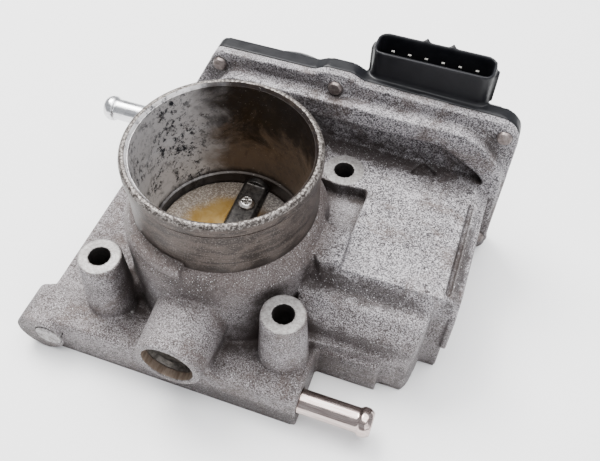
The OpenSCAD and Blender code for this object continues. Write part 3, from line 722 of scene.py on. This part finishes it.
def rounded_profile(corners: Sequence[tuple[float, float, float]], steps: int = 4) -> list:
    """Rounds the corners of a closed outline.

    Args:
        corners: radius, height and rounding of each corner, in millimetres.
        steps: points along each rounding.

    Returns:
        The outline as radius and height pairs.
    """
    out: list[tuple[float, float]] = []
    n = len(corners)
    for i, (x, y, r) in enumerate(corners):
        p = Vector((x, y))
        before = Vector(corners[i - 1][:2]) - p
        after = Vector(corners[(i + 1) % n][:2]) - p
        if r <= 0:
            out.append((x, y))
            continue
        cut = min(r, before.length * 0.45, after.length * 0.45)
        a, c = p + before.normalized() * cut, p + after.normalized() * cut
        for k in range(steps + 1):
            t = k / steps
            q = a * (1 - t) ** 2 + p * 2 * t * (1 - t) + c * t * t
            out.append((q.x, q.y))
    return out


# ---------------------------------------------------------------- sub-assemblies


class SubAssembly:
    """Base of the sub-assemblies: dresses their pieces and puts them on their bodies."""

    def settle(self, obj: bpy.types.Object, body: Body, slot: str, finish: bpy.types.Material | None,
               *nodes: str) -> bpy.types.Object:
        """Puts a piece on its body, in its finish, in place of its CAD nodes.

        Args:
            obj: the new piece.
            body: the body it rides on.
            slot: the record's material slot; not used.
            finish: its material, or None if the piece already has its own.
            nodes: the CAD nodes that it stands for.

        Returns:
            The piece.
        """
        if finish is not None:
            obj.data.materials.clear()
            obj.data.materials.append(finish)
        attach(obj, body.value)
        if nodes:
            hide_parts(*nodes)
        LOG.info("%s: %d faces", obj.name, len(obj.data.polygons))
        return obj


@dataclass
class Casting(SubAssembly):
    """The cast housing, with its turned intake collar and bore."""

    effects: Effects
    voxel: float = 0.45
    relax: int = 6
    bolt_pitch: float = 60.0
    bolt_hole_r: float = 3.3
    boss_r: float = 7.0
    boss_z: float = 41.0
    shaft_z: float = 25.2
    collar_r: float = 29.2
    bead_r: float = 30.0
    rim_z: float = 70.7
    collar_base_z: float = 48.0
    bore_r: float = 25.0
    mouth_r: float = 27.3
    step_z: float = 31.0
    front_face_y: float = -50.0
    front_ring_r: float = 10.4
    boss_inside_r: float = 8.9
    front_boss_end_y: float = -24.0
    parting_y: float = 47.5
    held_weight: float = 0.12

    def build(self) -> None:
        """Makes the casting, the collar and the bore."""
        self.body()
        self.collar()

    def holes(self) -> list[tuple[float, float]]:
        """Returns the centres of the mounting holes, in millimetres."""
        half = self.bolt_pitch / 2
        return [(x, y) for x in (-half, half) for y in (-half, half)]

    def machined(self, p: np.ndarray, slack: float) -> np.ndarray:
        """Returns which points, in millimetres, lie on a machined face, within some slack."""
        x, y, z = p.T
        near = z < slack
        for hx, hy in self.holes():
            away = np.hypot(x - hx, y - hy)
            near |= (away < self.boss_r - 0.3) & (np.abs(z - self.boss_z) < slack)
            near |= away < self.bolt_hole_r + slack
        near |= (np.hypot(x, z - self.shaft_z) < self.front_ring_r) & (y < self.front_face_y + slack)
        near |= np.abs(y - self.parting_y) < slack
        return near

    def body(self) -> None:
        """Makes the cast body with soft, filleted edges."""
        obj = welded_copy("housing", "Housing_casting")
        voxel = self.voxel * 1.0
        with_modifier(obj, "REMESH", mode="VOXEL", voxel_size=voxel * MM)
        data = MeshData(obj)
        p = data.points / MM
        held = self.machined(p, 0.9)
        away = np.hypot(p[:, 0], p[:, 1])
        bore = (away < self.bead_r - 0.1) & (p[:, 2] > self.collar_base_z) | (away < self.mouth_r + 0.7)
        weight = np.where(held | bore, self.held_weight, 1.0)
        data.smooth(self.relax, weight)
        p = data.points / MM
        away = np.hypot(p[:, 0], p[:, 1])
        self.tuck_under_collar(data, p, away)
        data.store()
        self.dress_body(obj, data)

    def tuck_under_collar(self, data: MeshData, p: np.ndarray, away: np.ndarray) -> None:
        """Draws the rough mesh back under the turned collar and bore.

        Args:
            data: the casting's mesh.
            p: its points in millimetres.
            away: each point's distance from the bore axis, in millimetres.
        """
        middle = (self.mouth_r + self.collar_r) / 2
        wall = (away < self.bead_r + 0.8) & (p[:, 2] > self.collar_base_z + 0.6)
        inside = (away < self.mouth_r + 0.6) & ~wall & (p[:, 2] > -0.5)
        target = away.copy()
        target[wall] = middle + (away[wall] - middle) * 0.25
        target[inside] = away[inside] + 0.5
        factor = np.where(away > 1e-6, target / np.maximum(away, 1e-6), 1.0)
        data.points[:, 0] *= factor
        data.points[:, 1] *= factor
        top = wall & (p[:, 2] > self.rim_z - 1.2)
        data.points[top, 2] = (self.rim_z - 1.2) * MM

    def dress_body(self, obj: bpy.types.Object, data: MeshData) -> None:
        """Gives rough, machined and inside faces their finishes.

        Args:
            obj: the casting.
            data: its mesh.
        """
        for material in (CastAlloyFinish().make(self.effects), MachinedFinish().make(self.effects),
                         SteelFinish("Sooty hole", (0.022, 0.018, 0.016), (0.008, 0.007, 0.007), 0.6,
                                     0.3).make(self.effects),
                         SteelFinish("Tan counterbore", (0.22, 0.17, 0.13), (0.10, 0.07, 0.05), 0.5,
                                     0.3, streak=(1, 0.2, 1)).make(self.effects)):
            obj.data.materials.append(material)
        centres = data.centres() / MM
        normals = data.normals()
        flat = self.machined(centres, 0.45) & (normals[:, 2] > 0.9)
        index = np.where(flat, 1, 0)
        for hx, hy in self.holes():
            index[np.hypot(centres[:, 0] - hx, centres[:, 1] - hy) < self.bolt_hole_r + 0.15] = 2
        inside_boss = np.hypot(centres[:, 0], centres[:, 2] - self.shaft_z) < self.boss_inside_r
        inside_boss &= centres[:, 1] > self.front_face_y + 0.2
        index[inside_boss & (centres[:, 1] < self.front_boss_end_y)] = 3
        obj.data.polygons.foreach_set("material_index", index.astype(np.int32))
        self.settle(obj, Body.HOUSING, "cast_alloy", None, "housing")

    def collar(self) -> None:
        """Turns the collar's outside and bead, and the bore's inside, as two crisp pieces."""
        rim, base, bead = self.rim_z, self.collar_base_z, self.bead_r
        outside = rounded_profile([
            (self.collar_r, base - 1.5, 0), (self.collar_r, rim - 5.4, 0.15),
            (self.collar_r - 0.5, rim - 5.25, 0.15), (self.collar_r - 0.5, rim - 4.65, 0.15),
            (bead - 0.3, rim - 4.45, 0.3), (bead, rim - 3.8, 0.5), (bead, rim - 0.8, 0.7),
            (bead - 0.9, rim, 0.5), (self.mouth_r + 0.9, rim, 0.3), (self.mouth_r, rim - 1.1, 0.4),
            (self.mouth_r, base + 8, 0), (self.mouth_r + 0.9, base + 6, 0),
            (self.mouth_r + 0.9, base - 1.5, 0)], 5)
        shell = turned("Collar", outside, (0, 0, 0), Axis.UP, 192)
        self.settle(shell, Body.HOUSING, "cast_alloy", None, "housing")
        shell.data.materials.append(CollarFinish().make(self.effects))
        shell.data.materials.append(BoreFinish().make(self.effects))
        lining = rounded_profile([
            (self.mouth_r - 0.02, rim - 1.1, 0), (self.mouth_r - 0.02, base + 6, 1.0),
            (self.mouth_r - 0.3, base + 4, 1.0), (self.bore_r + 0.85, self.step_z + 0.45, 0.12),
            (self.bore_r + 0.02, self.step_z, 0.15), (self.bore_r + 0.02, 0.05, 0.3),
            (self.bore_r + 0.9, 0.05, 0), (self.bore_r + 0.9, self.step_z - 0.6, 0),
            (self.bore_r + 1.5, self.step_z + 3, 0), (self.mouth_r + 0.4, base + 5, 0),
            (self.mouth_r + 0.4, rim - 1.1, 0)], 5)
        bore = turned("Bore_lining", lining, (0, 0, 0), Axis.UP, 192)
        self.settle(bore, Body.HOUSING, "cast_alloy", BoreFinish().make(self.effects), "housing")
        centres = MeshData(shell).centres() / MM
        inner = np.hypot(centres[:, 0], centres[:, 1]) < self.mouth_r + 0.75
        shell.data.polygons.foreach_set("material_index", inner.astype(np.int32))


@dataclass
class CoolantFittings(SubAssembly):
    """The two coolant nipples."""

    effects: Effects
    tube_r: float = 4.0
    seat_r: float = 3.6
    bead_r: float = 4.75
    length: float = 32.5

    def profile(self) -> list:
        """Returns the outline of a tube with a rolled bead at its end."""
        end = self.length
        return rounded_profile([
            (2.7, 0, 0), (self.seat_r, 0, 0), (self.seat_r, 9, 0), (self.tube_r, 9, 0),
            (self.tube_r, end - 4.5, 0.6), (self.bead_r, end - 3.5, 0.8),
            (self.bead_r, end - 1.7, 0.8), (self.tube_r, end - 0.4, 0.4), (self.tube_r - 0.4, end, 0.3),
            (3.0, end, 0.3), (2.7, end - 0.8, 0.3)], 6)

    def build(self) -> None:
        """Makes and dresses both nipples."""
        bright = SteelFinish("Bright nipple", (0.60, 0.52, 0.49), (0.36, 0.28, 0.26), 0.16,
                             patches=0.25, shade_and_grime=(0.30, 0.20, 0.16), streak=(0.15, 4, 4))
        zinc = SteelFinish("Zinc nipple", (0.78, 0.78, 0.79), (0.52, 0.52, 0.53), 0.26,
                           patches=0.35, streak=(0.15, 4, 4))
        places = (("Coolant_nipple_right", (30.5, -40.4, 10), Axis.RIGHT, bright, "bright_steel"),
                  ("Coolant_nipple_left", (-34, 39, 30.5), Axis.LEFT, zinc, "zinc_steel"))
        for name, at, axis, finish, slot in places:
            nipple = turned(name, self.profile(), at, axis, 96)
            self.settle(nipple, Body.HOUSING, slot, finish.make(self.effects), name.lower())


@dataclass
class GearCover(SubAssembly):
    """The moulded cover with its plug socket, and the rivets that hold it."""

    effects: Effects
    voxel: float = 0.5

    def build(self) -> None:
        """Makes the cover and its rivets."""
        voxel = self.voxel * 1.0
        cover = softened("gear_cover", "Gear_cover_moulding", voxel, 3)
        plastic = MouldedFinish("Cover plastic", (0.0035, 0.0037, 0.0052), 0.42, (0.05, 0.05, 0.06),
                                0.05, 1500.0)
        self.settle(cover, Body.HOUSING, "cover_plastic", plastic.make(self.effects), "gear_cover")
        rivets = softened("cover_rivets", "Cover_rivet_heads", 0.16, 5)
        steel = SteelFinish("Rivet steel", (0.24, 0.21, 0.20), (0.10, 0.08, 0.075), 0.4, 0.8)
        self.settle(rivets, Body.HOUSING, "rivet_steel", steel.make(self.effects), "cover_rivets")


@dataclass
class Valve(SubAssembly):
    """The butterfly, its shaft and its screws."""

    effects: Effects

    def build(self) -> None:
        """Makes and dresses the valve's pieces."""
        plate = softened("butterfly_plate", "Butterfly_disc", 0.22, 3)
        self.settle(plate, Body.THROTTLE, "oily_brass_tone", ButterflyFinish().make(self.effects),
                    "butterfly_plate")
        shaft = softened("throttle_shaft", "Cross_shaft", 0.24, 3)
        dark = SteelFinish("Oily shaft", (0.07, 0.065, 0.06), (0.02, 0.018, 0.018), 0.3, 0.7,
                           0.3, (0.03, 0.02, 0.015))
        self.settle(shaft, Body.THROTTLE, "shaft_steel", dark.make(self.effects), "throttle_shaft")
        screws = softened("plate_screws", "Butterfly_screws", 0.09, 4)
        bright = SteelFinish("Screw steel", (0.80, 0.79, 0.77), (0.55, 0.53, 0.50), 0.24)
        self.settle(screws, Body.THROTTLE, "screw_steel", bright.make(self.effects), "plate_screws")


@dataclass
class InnerWorks(SubAssembly):
    """Every CAD node that keeps its own shape, and only needs its finish."""

    effects: Effects

    def finishes(self) -> dict[str, object]:
        """Returns the finish of each of the record's material slots."""
        return {
            "plug_steel": CastAlloyFinish(),
            "black_rubber": MouldedFinish("Black rubber", (0.03, 0.03, 0.03), 0.7),
            "bearing_steel": SteelFinish("Ground steel", (0.66, 0.66, 0.67), (0.46, 0.46, 0.47), 0.22),
            "cap_steel": SteelFinish("Cap steel", (0.12, 0.11, 0.10), (0.04, 0.035, 0.03), 0.35, 0.8),
            "screw_steel": SteelFinish("Zinc screws", (0.7, 0.69, 0.66), (0.46, 0.44, 0.41), 0.3),
            "spring_steel": SteelFinish("Spring wire", (0.3, 0.3, 0.31), (0.14, 0.14, 0.14), 0.3),
            "motor_steel": SteelFinish("Motor can", (0.6, 0.6, 0.6), (0.4, 0.4, 0.4), 0.32),
            "ferrite": MouldedFinish("Ferrite", (0.06, 0.06, 0.065), 0.55),
            "black_plastic": MouldedFinish("Black moulding", (0.03, 0.03, 0.033), 0.45),
            "carbon": MouldedFinish("Carbon brush", (0.04, 0.04, 0.04), 0.6),
            "tinned_brass": SteelFinish("Tinned brass", (0.82, 0.80, 0.74), (0.6, 0.57, 0.5), 0.22),
            "gasket_rubber": MouldedFinish("Gasket rubber", (0.2, 0.09, 0.06), 0.7),
            "circuit_board": MouldedFinish("Circuit board", (0.03, 0.16, 0.07), 0.3, sheen=0.4),
            "gear_plastic": MouldedFinish("Gear plastic", (0.72, 0.68, 0.58), 0.45, (0.4, 0.36, 0.3)),
            "bronze": SteelFinish("Sintered bronze", (0.62, 0.46, 0.25), (0.4, 0.28, 0.14), 0.4),
            "copper": SteelFinish("Copper", (0.70, 0.38, 0.22), (0.45, 0.22, 0.12), 0.35),
        }

    def build(self) -> None:
        """Dresses each node that no piece has replaced."""
        slots = {s["node"]: s["material_slot"] for s in frame["record"]["subparts"]}
        made: dict[str, bpy.types.Material] = {}
        finishes = self.finishes()
        for name, node in frame["nodes"].items():
            if node.hide_render:
                continue
            slot = slots[name]
            if slot not in made:
                made[slot] = finishes[slot].make(self.effects)
            for holder in node.material_slots:
                holder.material = made[slot]
            LOG.info("%s: dressed in %s", name, made[slot].name)


@dataclass
class Studio:
    """Floor, backdrop, lights and camera."""

    eye: tuple[float, float, float] = (66.45, -130.89, 222.36)
    target: tuple[float, float, float] = (23.06, 4.81, 35.0)
    roll: float = 1.96
    lens: float = 43.2
    backdrop: Colour = (0.94, 0.94, 0.94)

    def build(self) -> None:
        """Sets the whole studio up."""
        self.floor()
        self.lights()
        self.camera()

    def floor(self) -> None:
        """Lays a plain pale floor that curves up far behind the object."""
        bm = bmesh.new()
        outline = [(-3.0, 0.0)] + [(3.0 + 1.5 * math.sin(t), 1.5 - 1.5 * math.cos(t))
                                   for t in np.linspace(0, math.pi / 2, 12)] + [(4.5, 4.0)]
        rows = [[bm.verts.new((x, y, z - 0.0002)) for y, z in outline] for x in (-4.0, 4.0)]
        for i in range(len(outline) - 1):
            bm.faces.new((rows[0][i], rows[1][i], rows[1][i + 1], rows[0][i + 1])).smooth = True
        bmesh.ops.recalc_face_normals(bm, faces=bm.faces)
        mesh = bpy.data.meshes.new("Floor")
        bm.to_mesh(mesh)
        bm.free()
        floor = link("Floor", mesh)
        paper = bpy.data.materials.new("Backdrop paper")
        paper.use_nodes = True
        b = Bench(paper.node_tree)
        shader = paper.node_tree.nodes["Principled BSDF"]
        tone = b.mix(b.noise(b.place(), 6.0, 2.0), self.backdrop, tuple(c * 0.985 for c in self.backdrop))
        b.feed(shader.inputs["Base Color"], tone)
        shader.inputs["Roughness"].default_value = 0.95
        floor.data.materials.append(paper)

    def lamp(self, name: str, at: Sequence[float], size: float, power: float, tint: Colour) -> None:
        """Hangs one square lamp that faces the object."""
        data = bpy.data.lights.new(name, "AREA")
        data.size, data.energy, data.color = size, power, tint
        obj = bpy.data.objects.new(name, data)
        obj.location = at
        look = Vector((0.02, 0.0, 0.03)) - obj.location
        obj.rotation_euler = look.to_track_quat("-Z", "Y").to_euler()
        bpy.context.scene.collection.objects.link(obj)

    def lights(self) -> None:
        """Hangs soft lamps and an even sky."""
        self.lamp("Key", (-0.42, 0.30, 0.85), 0.45, 17.0, (1.0, 0.99, 0.97))
        self.lamp("Top", (0.1, 0.2, 1.5), 1.6, 55.0, (1.0, 1.0, 1.0))
        self.lamp("Fill", (0.7, -0.7, 0.5), 0.8, 5.0, (0.96, 0.97, 1.0))
        world = bpy.data.worlds.new("Soft sky")
        world.use_nodes = True
        sky = world.node_tree.nodes["Background"]
        sky.inputs["Color"].default_value = (0.93, 0.95, 1.0, 1.0)
        sky.inputs["Strength"].default_value = 0.6
        bpy.context.scene.world = world

    def camera(self) -> None:
        """Places the camera."""
        data = bpy.data.cameras.new("Camera")
        data.lens, data.sensor_width = self.lens, 36.0
        data.clip_start, data.clip_end = 0.01, 20.0
        obj = bpy.data.objects.new("Camera", data)
        eye, target = Vector(self.eye) * MM, Vector(self.target) * MM
        forward = (target - eye).normalized()
        right = forward.cross(Vector((0, 0, 1))).normalized()
        up = right.cross(forward)
        c, s = math.cos(math.radians(self.roll)), math.sin(math.radians(self.roll))
        side, top = right * c + up * s, up * c - right * s
        obj.matrix_world = Matrix.Translation(eye) @ Matrix((side, top, -forward)).transposed().to_4x4()
        bpy.context.scene.collection.objects.link(obj)
        bpy.context.scene.camera = obj


def main() -> None:
    logging.basicConfig(level=logging.INFO, format="%(message)s")
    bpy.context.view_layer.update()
    effects = Effects()
    for stage in (Studio(), Casting(effects), CoolantFittings(effects), GearCover(effects),
                  Valve(effects), InnerWorks(effects)):
        stage.build()
        LOG.info("built %s", type(stage).__name__)


if __name__ == "__main__":
    main()
